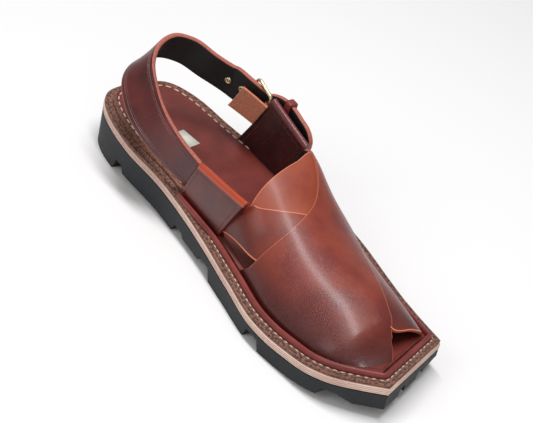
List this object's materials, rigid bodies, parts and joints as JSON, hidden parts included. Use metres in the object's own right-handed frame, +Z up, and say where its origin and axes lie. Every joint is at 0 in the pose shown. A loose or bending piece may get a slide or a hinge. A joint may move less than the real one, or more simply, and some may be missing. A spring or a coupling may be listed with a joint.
{
  "type": "peshawari chappal",
  "caption": "Left peshawari chappal in oxblood leather: crossed vamp straps with an open toe, folded ears, a buckled back strap and a cleated dark sole.",
  "frame": {"origin": "centre of the bounding box in plan, on the floor", "axes": "+Z up, the toe points to -Y, the outer side of the foot is +X"},
  "size_m": [0.1068, 0.298, 0.0898],
  "materials": {
    "outsole_rubber": "matte, moulded",
    "band_foam": "matte, in fine layers",
    "welt_leather": "satin, stitched",
    "upper_leather": "burnished, glossy",
    "strap_leather": "glossy with raw edges",
    "insole_leather": "satin",
    "guard_suede": "suede",
    "brass": "pale, polished"
  },
  "bodies": {
    "root": {"outsole": "outsole_rubber", "midsole": "band_foam", "welt": "welt_leather", "piping": "strap_leather", "insole": "insole_leather", "upper": "upper_leather", "ear_inner": "upper_leather", "ear_outer": "strap_leather", "back_strap": "strap_leather", "buckle_frame": "brass", "buckle_prong": "brass", "keeper": "upper_leather", "buckle_guard": "guard_suede", "eyelet_1": "brass", "eyelet_2": "brass"}
  },
  "joints": []
}
